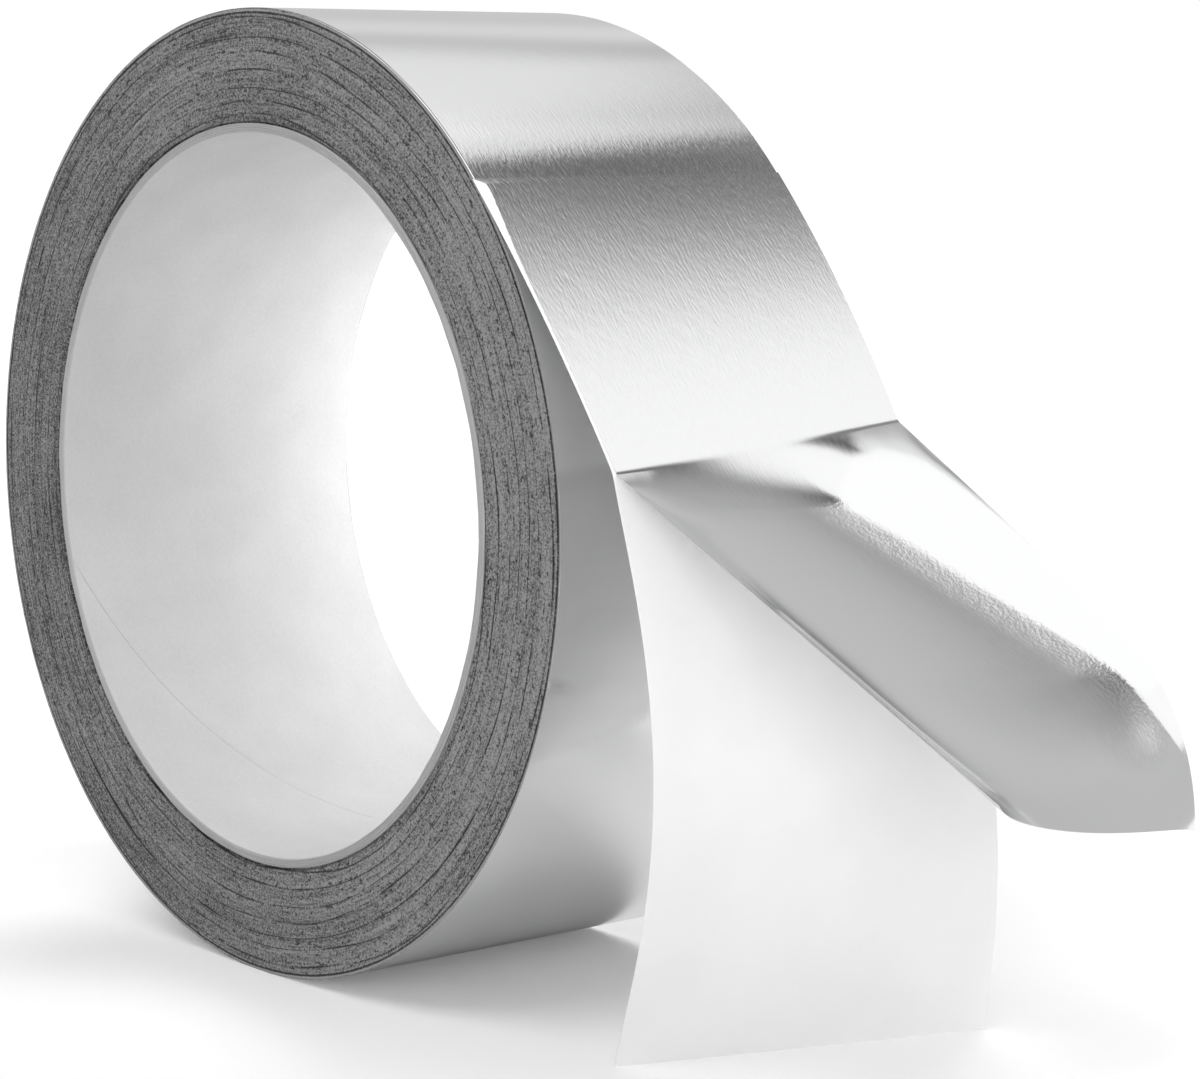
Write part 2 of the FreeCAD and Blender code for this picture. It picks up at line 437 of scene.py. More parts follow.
def lead_edge(radius, length, y):
    """A point on an edge of the lead, a length along it from the roll."""
    centre = outward(LEAVE_ANGLE) * (ROLL_RADIUS - radius)
    angle = LEAVE_ANGLE + math.degrees(length / radius)
    return centre + outward(angle) * radius + Vector((0, y, 0))


def lead_point(along, across):
    """A point on the lead's outer skin, from the roll (0) to the fold (1)."""
    front = lead_edge(LEAD_FRONT_RADIUS, along * LEAD_FRONT_LENGTH, FRONT)
    back = lead_edge(LEAD_BACK_RADIUS, along * LEAD_BACK_LENGTH, BACK)
    return front.lerp(back, across)


def fold_normal():
    """The lead's normal at the fold, halfway across."""
    front_turn = math.degrees(LEAD_FRONT_LENGTH / LEAD_FRONT_RADIUS)
    back_turn = math.degrees(LEAD_BACK_LENGTH / LEAD_BACK_RADIUS)
    return outward(LEAVE_ANGLE + (front_turn + back_turn) / 2)


def fold_point(across, depth):
    """A point on the fold, from the near edge (0) to the far edge (1), below the outer skin."""
    return lead_point(1, across) - fold_normal() * depth


print("fold from", lead_point(1, 0), "to", lead_point(1, 1))

# %% [markdown]
# ## Finishing a piece
#
# Every piece ends the same way: its mesh is scaled to metres, gets its materials, rides on the one body
# of this model and stands in for its solid. A short report says how large the finished mesh is.

# %% Finish a piece
SHARP_ANGLE = 30  # edges that turn by more than this, in degrees, stay sharp
SHEET_SHARP_ANGLE = 60


def finish_piece(shape, name, node, materials, sharp_angle=SHARP_ANGLE):
    """Makes the object for a finished bmesh that is in millimetres."""
    bmesh.ops.scale(shape, vec=(MM, MM, MM), verts=shape.verts[:])
    mesh = bpy.data.meshes.new(name)
    shape.to_mesh(mesh)
    shape.free()
    mesh.shade_smooth()
    mesh.set_sharp_from_angle(angle=math.radians(sharp_angle))
    for material in materials:
        mesh.materials.append(material)
    piece = bpy.data.objects.new(name, mesh)
    bpy.context.scene.collection.objects.link(piece)
    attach(piece, "root")
    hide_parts(node)
    triangles = sum(len(face.vertices) - 2 for face in mesh.polygons)
    open_edges = len(mesh.edges) * 2 - sum(len(face.vertices) for face in mesh.polygons)
    print(name, "triangles", triangles, "open edges", open_edges)


# %% [markdown]
# ## The core
#
# The core is a tube of strong paper, wound from strips at a slant, so a hairline seam runs round its
# bore as a screw thread does. A lathe turns such a tube out of its section: a thin upright rectangle
# with small rounded corners, and lines between the plies at its two ends. The section is spun round,
# and the columns of the mesh are then turned a little more with every row, so that one of them lies
# along the seam and can be pressed in.

# %% Core sizes
CORE_STEPS = 240
CORE_ROWS = 40
PLY_LINES = (38.76, 39.0, 39.24)
PLY_LINE_DEPTH = 0.07
PLY_LINE_HALF = 0.035
CORE_CORNER = 0.12
CORE_FRAY = 0.10
FRAY_WAVES = (11, 60)  # tufts round the cut end, large and small
SEAM_PITCH = 105.0  # along the core for each full turn
SEAM_ANGLE = 255.0  # where the seam reaches the near end
SEAM_HALF_WIDTH = 0.13
SEAM_DEPTH = 0.10


def end_points(y, inward):
    """The core's section across one end, from the bore outwards, with its ply lines."""
    points = [(BORE_RADIUS, y + inward * CORE_CORNER), (BORE_RADIUS + CORE_CORNER, y)]
    for radius in PLY_LINES:
        points.append((radius - PLY_LINE_HALF, y))
        points.append((radius, y + inward * PLY_LINE_DEPTH))
        points.append((radius + PLY_LINE_HALF, y))
    points += [(CORE_RADIUS - CORE_CORNER, y), (CORE_RADIUS, y + inward * CORE_CORNER)]
    return points


def ring_of_edges(shape, points):
    """A closed line of vertices in the plane of radius and y, standing on the top of the roll."""
    verts = [shape.verts.new((0, y, radius)) for radius, y in points]
    return [shape.edges.new(pair) for pair in zip(verts, verts[1:] + verts[:1])]


print("core section", len(end_points(FRONT, 1)) * 2, "points")

# %% Spin the core
core_shape = bmesh.new()
section = end_points(FRONT, 1) + end_points(BACK, -1)[::-1]
edges = ring_of_edges(core_shape, section)
walls = [edge for edge in edges if edge.calc_length() > TAPE_WIDTH / 2]
bmesh.ops.subdivide_edges(core_shape, edges=walls, cuts=CORE_ROWS - 1)
bmesh.ops.spin(core_shape, geom=core_shape.verts[:] + core_shape.edges[:], cent=(0, 0, 0), dvec=(0, 0, 0),
               axis=(0, 1, 0), angle=math.tau, steps=CORE_STEPS, use_merge=True)
bmesh.ops.remove_doubles(core_shape, verts=core_shape.verts[:], dist=0.001)
bmesh.ops.recalc_face_normals(core_shape, faces=core_shape.faces[:])
print("core rings", CORE_STEPS, "vertices", len(core_shape.verts))

# %% Slant the columns, press the seam in and roughen the cut ends
for vert in core_shape.verts:
    slant = SEAM_ANGLE - (vert.co.y - FRONT) / SEAM_PITCH * 360
    radius = math.hypot(vert.co.x, vert.co.z)
    column = angle_of(vert.co)
    if radius < BORE_RADIUS + 0.001 and abs(column) < 0.1:
        radius += SEAM_DEPTH
    elif radius < BORE_RADIUS + 0.001 and abs(column) < 360 / CORE_STEPS + 0.1:
        column = math.copysign(math.degrees(SEAM_HALF_WIDTH / BORE_RADIUS), column)
    place = outward(column + slant)
    fray = 0.0
    if abs(abs(vert.co.y) - BACK) < 0.2:
        large = noise.noise(place * FRAY_WAVES[0] + Vector((0, radius * 4, 0)))
        small = noise.noise(place * FRAY_WAVES[1] + Vector((0, radius * 9, 0)))
        fray = CORE_FRAY * max(0.0, 0.35 + large) + CORE_FRAY * 0.4 * abs(small)
    y = vert.co.y - math.copysign(fray, vert.co.y)
    vert.co = place * radius + Vector((0, y, 0))
print("core frayed by up to", round(max(BACK - abs(vert.co.y) for vert in core_shape.verts
                                        if abs(vert.co.y) > BACK - 0.25), 2), "mm")

# %% [markdown]
# The paper of the core is a plain grey and matt, with short soft fibres. Its colour is noise at two
# scales, clouds a few millimetres wide and fibres a few tenths, and the fibres are a faint bump too.
# The two cut ends are darker.

# %% Core paper
core_paper, tree, shader = new_material("core_paper")
place = add(tree, "TexCoord").outputs["Object"]
clouds = stretched_noise(tree, place, (140, 140, 140), detail=3)
fibres = stretched_noise(tree, place, (2600, 2600, 2600), detail=3, roughness=0.6)
tone = remap(tree, total(tree, product(tree, clouds, 0.5), product(tree, fibres, 0.5)), 0.3, 0.7)
from_middle = calculate(tree, "ABSOLUTE", add(tree, "SeparateXYZ", {0: place}).outputs[1])
darker_end = remap(tree, from_middle, (BACK - 0.3) * MM, (BACK - 0.1) * MM, 0, 2.0)
tone = calculate(tree, "SUBTRACT", tone, darker_end)
grey = remap(tree, tone, -1.5, 1, 0.36, 0.53)
tree.links.new(grey_colour(tree, grey), shader.inputs["Base Color"])
shader.inputs["Roughness"].default_value = 0.85
shader.inputs["Specular IOR Level"].default_value = 0.25
tree.links.new(bump(tree, fibres, 0.02 * MM), shader.inputs["Normal"])
finish_piece(core_shape, "paper_core", "core", [core_paper])

# %% [markdown]
# ## The wound tape
#
# The wound tape is one long strip, so its outline is a spiral and not a circle: the outer skin steps
# down by one thickness where the last turn leaves. It could be a smooth ring with lines painted on
# its sides, but the lines are the edges of real turns that stand a little proud or lie a little deep,
# and they catch the light. So each turn gets its own ring of faces. The section is spun once round,
# every step a little nearer to the core, and the last section lands on the first one, a turn further
# in, where the two are merged into one strip.

# %% Sizes of the wound tape
SLICES = 8  # the spin is done for one slice, and the slice is copied round
SLICE_STEPS = 48
OUTER_COLUMNS = 12
EDGE_SET_IN = 0.16  # how far the foil's edge lies in from the liner's on the last turn
SIDE_RELIEF = 0.07
RELIEF_WAVES = (1.4, 14)  # of the relief round the roll, slow and quick
DEEP_TURNS = (  # the turn's number, counted from outside, and how deep its edge lies
    (3.0, 0.12), (9.4, 0.10), (17.2, 0.16), (26.6, 0.10),
    (38.5, 0.16), (47.3, 0.10), (58.8, 0.16), (66.1, 0.12),
)
DEEP_TURN_HALF = 0.55  # in turns
CORE_GAP_DEPTH = 0.35
SIDE, SKIN, LEDGE = 0, 1, 2


def roll_side(y, inward):
    """One side of the wound section, from the last turn in to the core."""
    foot = ROLL_RADIUS - FOIL_THICKNESS
    points = [(ROLL_RADIUS, y + inward * EDGE_SET_IN), (foot, y + inward * EDGE_SET_IN), (foot, y)]
    points += [(ROLL_RADIUS - TURN_THICKNESS * turn, y) for turn in range(1, TURNS + 1)]
    return points + [(CORE_RADIUS, y)]


def relief(turn, place):
    """How deep a turn's edge lies below the flat side; turn counts from outside, place is a direction."""
    slow, quick = RELIEF_WAVES
    depth = SIDE_RELIEF * max(0, 0.45 + noise.noise(Vector((place.x * slow, place.z * slow, turn * 1.3))))
    depth += SIDE_RELIEF * 0.35 * (1 + noise.noise(Vector((place.x * quick, place.z * quick, turn * 2.1))))
    for middle, deep in DEEP_TURNS:
        part = max(0, 0.5 + 1.2 * noise.noise(Vector((place.x * 1.1, place.z * 1.1, middle * 5))))
        depth += deep * min(part, 1) * max(0, 1 - abs(turn - middle) / DEEP_TURN_HALF)
    return depth


print("deep turns", len(DEEP_TURNS), "of", TURNS)

# %% Spin the section round the roll
wound = bmesh.new()
tape_uv = wound.loops.layers.uv.new("tape")
section = roll_side(FRONT, 1) + roll_side(BACK, -1)[::-1]
edges = ring_of_edges(wound, section)
wide_edges = [edge for edge in edges if edge.calc_length() > TAPE_WIDTH / 2]
top_edge = [edge for edge in wide_edges if edge.verts[0].co.z > ROLL_RADIUS - 1]
bmesh.ops.subdivide_edges(wound, edges=top_edge, cuts=OUTER_COLUMNS - 1)
to_start = Matrix.Rotation(math.radians(LEAVE_ANGLE), 3, "Y")
bmesh.ops.rotate(wound, verts=wound.verts[:], cent=(0, 0, 0), matrix=to_start)
bmesh.ops.spin(wound, geom=wound.verts[:] + wound.edges[:], cent=(0, 0, 0), dvec=(0, 0, 0),
               axis=(0, -1, 0), angle=math.tau / SLICES, steps=SLICE_STEPS, use_merge=False)
slice_geometry = wound.verts[:] + wound.edges[:] + wound.faces[:]
slice_verts = [wound.verts[:]]
for number in range(1, SLICES):
    copied = bmesh.ops.duplicate(wound, geom=slice_geometry)["geom"]
    slice_verts.append([item for item in copied if isinstance(item, bmesh.types.BMVert)])
    to_slice = Matrix.Rotation(-math.tau * number / SLICES, 3, "Y")
    bmesh.ops.rotate(wound, verts=slice_verts[-1], cent=(0, 0, 0), matrix=to_slice)
print("wound slices", SLICES, "vertices", len(wound.verts))


def turned_back(point, number):
    """How far round the roll a point of a slice is, back from where the tape leaves: 0 to 1."""
    start = number / SLICES
    return start + ((LEAVE_ANGLE - angle_of(point)) / 360 - start + 0.5) % 1 - 0.5


# %% Measure the tape along the skin, before the turns are joined
turn_back = {}
for number, verts in enumerate(slice_verts):
    for vert in verts:
        turn_back[vert] = turned_back(vert.co, number)
radius_of = {vert: math.hypot(vert.co.x, vert.co.z) for vert in wound.verts}
for face in wound.faces:
    radii = [radius_of[vert] for vert in face.verts]
    flat = max(radii) - min(radii) < 0.01
    if flat and min(radii) > ROLL_RADIUS - 0.01:
        face.material_index = SKIN
    elif flat and min(radii) > ROLL_RADIUS - FOIL_THICKNESS - 0.01:
        face.material_index = LEDGE
    else:
        face.material_index = SIDE
    for loop in face.loops:
        length = -turn_back[loop.vert] * math.tau * ROLL_RADIUS
        loop[tape_uv].uv = (length * MM, loop.vert.co.y * MM)
print("skin faces", sum(face.material_index == SKIN for face in wound.faces))

# %% Wind the turns inwards and press their edges in
for vert in wound.verts:
    back = turn_back[vert]
    radius = radius_of[vert]
    place = vert.co.copy()
    place.y = 0
    place.normalize()
    turn = (ROLL_RADIUS - radius) / TURN_THICKNESS + back
    y = vert.co.y
    if abs(radius - (ROLL_RADIUS - FOIL_THICKNESS)) < 0.01:  # the foil's foot meets its skin by the end
        radius -= LINER_THICKNESS * back
    elif radius > CORE_RADIUS + 0.001:
        radius = max(radius - TURN_THICKNESS * back, CORE_RADIUS)
    if abs(y) > BACK - 1:
        depth = relief(turn, place)
        if radius < CORE_RADIUS + 0.2:
            depth += CORE_GAP_DEPTH
        if abs(y) < BACK - EDGE_SET_IN / 2:  # the foil's own edge wanders along the rim
            wander = noise.noise(Vector((place.x * 9, place.z * 9, math.copysign(7, y))))
            y = math.copysign(BACK - EDGE_SET_IN * (1 + 0.7 * wander) * (1 - back), y)
        y -= math.copysign(depth, y)
    vert.co = place * radius + Vector((0, y, 0))
bmesh.ops.remove_doubles(wound, verts=wound.verts[:], dist=0.0005)
open_edges = [edge for edge in wound.edges if edge.is_boundary]
bmesh.ops.holes_fill(wound, edges=open_edges, sides=0)
bmesh.ops.recalc_face_normals(wound, faces=wound.faces[:])
print("wound tape vertices", len(wound.verts), "open", sum(edge.is_boundary for edge in wound.edges))

# %% [markdown]
# Three finishes show on the wound tape. Its sides are the cut edges of all its turns of foil, glue and
# paper: a dull dark grey with fine rings and a grain of short dark dashes. Painted shade lies over it: a
# darker line every ten turns or so where the winding slipped, a darker band beside the core, and a
# little more shade on the left than on the right. At the rim the last turns show a light line and a dark
# line of painted shade.
# An image could hold all that, but noise that runs round the axis needs no picture and never repeats.

# %% Cut edges
cut_edges, tree, shader = new_material("cut_edges")
place = add(tree, "TexCoord").outputs["Object"]
axes = add(tree, "SeparateXYZ", {0: place}).outputs
across_axis = total(tree, product(tree, axes[0], axes[0]), product(tree, axes[2], axes[2]))
from_axis = calculate(tree, "SQRT", across_axis)
around_x = calculate(tree, "DIVIDE", axes[0], from_axis)
around_z = calculate(tree, "DIVIDE", axes[2], from_axis)
ring_place = add(tree, "CombineXYZ", {0: around_x, 1: around_z, 2: from_axis}).outputs[0]
rings = stretched_noise(tree, ring_place, (5, 5, 4600), detail=3, roughness=0.65)
wide_rings = stretched_noise(tree, ring_place, (1.6, 1.6, 620), detail=3, roughness=0.6)
grain = stretched_noise(tree, place, (4200, 4200, 4200), detail=2, roughness=0.8)
dashes = stretched_noise(tree, ring_place, (55, 55, 2700), detail=2, roughness=0.6)
clouds = stretched_noise(tree, place, (45, 45, 45), detail=2)
wander = stretched_noise(tree, ring_place, (1.3, 1.3, 260), detail=2)
tone = total(
    tree,
    product(tree, rings, 0.45),
    product(tree, wide_rings, 0.2),
    grain,
    remap(tree, dashes, 0.30, 0.41, -0.22, 0.0),
    # painted shade: darker beside the core, in the gap where the tape meets it
    remap(tree, from_axis, 0.0395, 0.0412, -0.06, 0.0),  # darker beside the core
    remap(tree, clouds, 0.3, 0.7, -0.04, 0.04),
    # painted light and shade: darker towards the left and lighter towards the right, as the light falls
    remap(tree, axes[0], -0.045, 0.045, -0.035, 0.04),  # and a little towards the left
)
print("cut edges, nodes before the laps and the rim", len(tree.nodes))

# %% Painted shade of the laps, and the two lines at the rim
LAPS_PER_METRE = 580
lap = total(tree, product(tree, from_axis, LAPS_PER_METRE), product(tree, wander, 1.6))
from_lap = calculate(tree, "PINGPONG", lap, 0.5)
fading = stretched_noise(tree, ring_place, (7, 7, 500), detail=2)
# painted shade: a darker line every ten turns or so, where the winding slipped and a turn lies deep
lap_shade = remap(tree, from_lap, 0.02, 0.055, -0.30, 0.0)
lap_shade = product(tree, lap_shade, remap(tree, fading, 0.38, 0.58, 0.1, 1))
# the dark line here is painted shade over the deep turn near the rim; the light line beside it is a lighter
# grey
rim = ramp(tree, from_axis, 0.050, 0.052, [
    (0.05, 0.5), (0.0506, 0.5), (0.0507, 0.65), (0.0508, 0.1), (0.05095, 0.1),
    (0.05105, 0.9), (0.0512, 0.9), (0.0513, 0.3), (0.0514, 0.3),
])
tone = total(tree, tone, lap_shade, remap(tree, rim, 0, 1, -0.3, 0.3))
grey = remap(tree, tone, 0.65, 0.96, 0.015, 0.28)
tree.links.new(grey_colour(tree, grey), shader.inputs["Base Color"])
shader.inputs["Roughness"].default_value = 0.55
shader.inputs["Metallic"].default_value = 0.25
tree.links.new(bump(tree, tone, 0.06 * MM), shader.inputs["Normal"])
print("cut edges, nodes", len(tree.nodes))

# %% [markdown]
# The skin is the foil itself: almost a mirror, but rolled, so very fine lines run along its length and
# spread each reflection across them. They follow the tape's own length, which its UV map holds in
# metres. They are strong near the place where the tape leaves the roll and fade along the free end,
# which the peeling has pulled smooth. Shallow dents lie over them, and the crumpled fold adds wrinkles.

# %% Foil
LINE_HEIGHT = 0.014  # in millimetres, as the other heights
DENT_HEIGHT = 0.008
WRINKLE_HEIGHT = 0.05
WRINKLE_TURN = -0.344  # the slant of the wrinkles along the fold, in radians

foil, tree, shader = new_material("foil")
tape = add(tree, "UVMap", uv_map="tape").outputs[0]
streaks = stretched_noise(tree, tape, (900, 3400, 1), detail=2, roughness=0.6)
long_lines = stretched_noise(tree, tape, (40, 2600, 1), detail=2)
dents = stretched_noise(tree, tape, (300, 300, 1), detail=2)
along_fold = add(tree, "Mapping", {"Vector": tape, "Rotation": (0, 0, WRINKLE_TURN)}).outputs[0]
wrinkles = stretched_noise(tree, along_fold, (2600, 1800, 1), detail=2, roughness=0.6)
crumple = add(tree, "Attribute", attribute_name="crumple").outputs["Fac"]
shader.inputs["Base Color"].default_value = (0.918, 0.92, 0.922, 1)
shader.inputs["Metallic"].default_value = 1.0
tree.links.new(remap(tree, streaks, 0.3, 0.7, 0.10, 0.15), shader.inputs["Roughness"])
lines = total(tree, streaks, product(tree, long_lines, 0.2))
length = add(tree, "SeparateXYZ", {0: tape}).outputs[0]
share = ramp(tree, length, -0.03, 0.04, [
    (-0.02, 0.2), (-0.003, 1), (0.009, 1), (0.022, 0.45), (0.034, 0.3),
])
rough = bump(tree, product(tree, lines, share), LINE_HEIGHT * MM)
rough = bump(tree, dents, DENT_HEIGHT * MM, rough)
rough = bump(tree, product(tree, wrinkles, crumple), WRINKLE_HEIGHT * MM, rough)
tree.links.new(rough, shader.inputs["Normal"])
print("foil, nodes", len(tree.nodes))

# %% [markdown]
# Under the free foil is its glue, a thin clear film on the metal. It dulls the mirror and lies in long
# smears, so the same noise sets its grey, its roughness and its bump.

# %% The foil's sticky back
foil_back, tree, shader = new_material("foil_back")
tape = add(tree, "UVMap", uv_map="tape").outputs[0]
smears = stretched_noise(tree, tape, (60, 700, 1), detail=3, roughness=0.6)
grey = remap(tree, smears, 0.3, 0.7, 0.68, 0.78)
tree.links.new(grey_colour(tree, grey), shader.inputs["Base Color"])
shader.inputs["Metallic"].default_value = 0.8
tree.links.new(remap(tree, smears, 0.3, 0.7, 0.32, 0.45), shader.inputs["Roughness"])
tree.links.new(bump(tree, smears, 0.01 * MM), shader.inputs["Normal"])
print("sticky back, nodes", len(tree.nodes))

# %% [markdown]
# The liner is white paper. The face that held the glue is glazed with silicone, so it is smooth and a
# little shiny, and its ledge shows along the rim of the roll. Its back is bare and matt, and a darker
# grey is painted on it as painted shade, for the back faces the roll and lies in the shaded gap. Both
# are the same recipe: soft clouds in the colour, and fibres in the surface.

# %% Liner paper


def liner_finish(name, grains, dark, light, fibre_height):
    """A paper whose clouds go from a dark to a light grey; heights are in millimetres."""
    material, tree, shader = new_material(name)
    place = add(tree, "TexCoord").outputs["Object"]
    clouds = stretched_noise(tree, place, (grains, grains, grains), detail=3)
    fibres = stretched_noise(tree, place, (1900, 1900, 1900), detail=3, roughness=0.6)
    shades = {0: remap(tree, clouds, 0.3, 0.7), 6: (dark, dark, dark, 1), 7: (light, light, light, 1)}
    colour = add(tree, "Mix", shades, data_type="RGBA").outputs[2]
    tree.links.new(colour, shader.inputs["Base Color"])
    tree.links.new(bump(tree, fibres, fibre_height * MM), shader.inputs["Normal"])
    return material, tree, shader, fibres


liner_paper, tree, shader, fibres = liner_finish("liner_paper", 120, 0.89, 0.92, 0.004)
tree.links.new(remap(tree, fibres, 0.3, 0.7, 0.38, 0.52), shader.inputs["Roughness"])
# the back's darker greys are painted shade of the gap between the liner and the roll
shaded_liner_back, tree, shader, fibres = liner_finish("shaded_liner_back", 150, 0.78, 0.84, 0.008)
shader.inputs["Roughness"].default_value = 0.7
print("materials", sorted(material.name for material in bpy.data.materials))

# %% [markdown]
# With its finishes made, the wound tape can be put together: cut edges on its sides, foil on its skin
# and liner paper on its ledges.

# %% Finish the wound tape
finish_piece(wound, "wound_tape", "tape_roll", [cut_edges, foil, liner_paper])

# %% [markdown]
# ## The free foil
#
# The foil runs on from the last turn as the lead, is folded back on itself a little, and stands out as
# a flap that sags and curls. Foil doesn't drape as cloth does: it keeps each dent it is given. So it
# isn't simulated. A fine flat grid is laid over the lead and the flap by the functions that gave the
# solid its shape, and the dents of the real one are pressed in after that.

# %% Shape of the flap
FOIL_LENGTH = 86.8
FLAP_FRONT_SLOPE = 27.0
FLAP_FRONT_DRIFT = 3.1
FLAP_BACK_SLOPE = 30.0
FLAP_BACK_STRAIGHT = 34.2
FLAP_BACK_INSET = 0.8
FLAP_DROOP_RADIUS = 21.3
FLAP_SAG = 1.4
FLAP_SAG_PLACE = 0.38
VALLEY_DEPTH = 2.7  # a soft fold crosses the flap at a slant, and its floor lies this low
VALLEY_START = 0.60  # its place across the flap at the crease
VALLEY_SLANT = 0.43  # how far across it moves over the flap's length
VALLEY_END = 0.9  # how far along the flap it dies out
VALLEY_RISE = 0.16  # how far along the flap its near side reaches its depth
VALLEY_FAR_RISE = 0.34  # and its far side
FAR_SHARE_RATE = 1.3  # how soon beyond the fold the far side's own start counts in full
NEAR_ROUNDING = 0.20  # how wide the fold's bend is on its near side, as a share of the flap's width
FAR_ROUNDING = 0.10
VALLEY_SHIFT = 0.10  # how much nearer the edge the fold starts
VALLEY_SHIFT_LENGTH = 0.06
VALLEY_LAST_PLACE = 0.985
EDGE_CURL = 0.75  # both cut edges are bent a little by the peeling
EDGE_CURL_WIDTH = 2.2
EDGE_CURL_RISE = 0.12  # how far along the flap the edges are fully bent
FAR_EDGE_CURL = 0.40
FAR_EDGE_CURL_WIDTH = 1.5
FLAP_UP = outward((FLAP_FRONT_SLOPE + FLAP_BACK_SLOPE) / 2)


def hump(position, place):
    """A smooth curve that is 0 at both edges and 1 at its place."""
    if not 0 < position < 1:
        return 0.0
    return (position / place) ** (2 * place) * ((1 - position) / (1 - place)) ** (2 * (1 - place))


def roof(position, place):
    """Two slopes that are 0 at both edges and meet at 1 at the place, with a rounded ridge."""
    width = place if position <= place else 1 - place
    height = position / place if position <= place else (1 - position) / (1 - place)
    rounding = min((NEAR_ROUNDING if position <= place else FAR_ROUNDING) / width, 1)
    at_edge = 1 + rounding - math.hypot(1, rounding)
    return (1 + rounding - math.hypot(1 - height, rounding) - at_edge) / (1 - at_edge)


def flap_front_edge(along):
    """The flap's near edge, from the fold (0) to the cut end (1)."""
    length = along * (FOIL_LENGTH - LEAD_FRONT_LENGTH)
    return fold_point(0, 0) + bearing(FLAP_FRONT_DRIFT, -FLAP_FRONT_SLOPE) * length


def flap_back_edge(along):
    """The flap's far edge: straight at first, then drooping round an arc."""
    slope = math.radians(FLAP_BACK_SLOPE)
    length = along * (FOIL_LENGTH - LEAD_BACK_LENGTH)
    straight = min(length, FLAP_BACK_STRAIGHT)
    turned = slope + (length - straight) / FLAP_DROOP_RADIUS
    x = straight * math.cos(slope) + FLAP_DROOP_RADIUS * (math.sin(turned) - math.sin(slope))
    z = -straight * math.sin(slope) - FLAP_DROOP_RADIUS * (math.cos(slope) - math.cos(turned))
    return fold_point(1, 0) + Vector((x, -FLAP_BACK_INSET * along ** 2, z))


def valley_place(along):
    """Where across the flap the slanting fold is."""
    shift = VALLEY_SHIFT * math.exp(-along / VALLEY_SHIFT_LENGTH)
    return min(VALLEY_START - shift + VALLEY_SLANT * along, VALLEY_LAST_PLACE)


def smooth_step(value):
    """0 below 0, 1 above 1, and a smooth climb between."""
    value = min(max(value, 0.0), 1.0)
    return value * value * (3 - 2 * value)


def valley_depth(along, across):
    """How far the slanting fold lowers a point of the flap."""
    if not 0 < along < VALLEY_END:
        return 0.0
    place = valley_place(along)
    near_start = math.sin(math.pi / 2 * min(along / VALLEY_RISE, 1))
    far_start = math.sin(math.pi / 2 * min(along / VALLEY_FAR_RISE, 1))
    far_share = smooth_step(FAR_SHARE_RATE * (across - place) / (1 - place))
    start = near_start + (far_start - near_start) * far_share
    return VALLEY_DEPTH * start * (1 - (along / VALLEY_END) ** 3) * roof(across, place)


def edge_curl(along, across):
    """How far the flap lies below its near edge, and above its far edge, because the edges curl."""
    from_near = across * TAPE_WIDTH / EDGE_CURL_WIDTH
    from_far = (1 - across) * TAPE_WIDTH / FAR_EDGE_CURL_WIDTH
    near = EDGE_CURL * (1 - math.exp(-from_near)) * (1 - across)
    far = FAR_EDGE_CURL * (1 - math.exp(-from_far)) * across ** 3
    return (near - far) * smooth_step(along / EDGE_CURL_RISE)


def flap_point(along, across):
    """A point on the flap's outer skin, from the fold (0) to the cut end (1)."""
    front = flap_front_edge(along)
    back = flap_back_edge(along)
    dip = FLAP_SAG * along * hump(across, FLAP_SAG_PLACE)
    lowered = valley_depth(along, across) + edge_curl(along, across) + dip
    return front.lerp(back, across) - FLAP_UP * lowered


print("flap's cut end from", flap_point(1, 0)[:], "to", flap_point(1, 1)[:])

# %% The near edge of the free foil
CELL = 0.33  # the grid's spacing
EDGE_FADE = 6  # how fast the set-in dies away across the foil
SET_IN = 0.3  # on the flap, and along most of the lead
SET_IN_AT_ROLL = 1.0  # what is added where the lead leaves the roll
SET_IN_LENGTH = 7.5  # the stretch over which that dies away
SET_IN_START = 0.7  # the stretch over which the set-in grows out of the roll's own edge
RAGGEDNESS = 0.12


def set_in(length):
    """How far the free foil's near edge lies in from the liner's, a length from the roll."""
    ragged = RAGGEDNESS * noise.noise(Vector((length * 1.7, 3, 0)))
    start = min(length / SET_IN_START, 1)
    return start * (SET_IN + SET_IN_AT_ROLL * math.exp(-(length / SET_IN_LENGTH) ** 2) + ragged)


def foil_place(length, across):
    """A point on the free foil, a length along it from the roll; across runs from 0 to 1."""
    across = across + set_in(length) / TAPE_WIDTH * (1 - across) ** EDGE_FADE
    if length <= LEAD_FRONT_LENGTH:
        return lead_point(length / LEAD_FRONT_LENGTH, across)
    return flap_point((length - LEAD_FRONT_LENGTH) / (FOIL_LENGTH - LEAD_FRONT_LENGTH), across)


print("near edge set in by %.2f mm at 1 mm, %.2f at 20 mm" % (set_in(1), set_in(20)))

# %% [markdown]
# Along the slanting fold the foil is crumpled: a band of tiny wrinkles runs beside it, square to it.
# The larger ones are moved in the mesh. The finest are narrower than the mesh's cells, so the mesh only
# carries a mark that says how crumpled it is there, and the finish adds them as bumps.

# %% The crumpled band
CRUMPLE_HALF_WIDTH = 0.13  # as a share of the flap's width
CRUMPLE_CENTRE = -0.015  # from the fold, on its near side
CRUMPLE_START = (0.05, 0.2)  # where along the flap it begins, and how slowly
CRUMPLE_END = (0.95, 0.35)  # where it is over, and how slowly it fades before that
CRUMPLE_DEPTH = 0.02
CRUMPLE_GRAINS = (0.95, 0.45)  # per millimetre, along the fold and across it
VALLEY_TURN = math.atan2(VALLEY_SLANT * TAPE_WIDTH, FOIL_LENGTH - LEAD_FRONT_LENGTH)


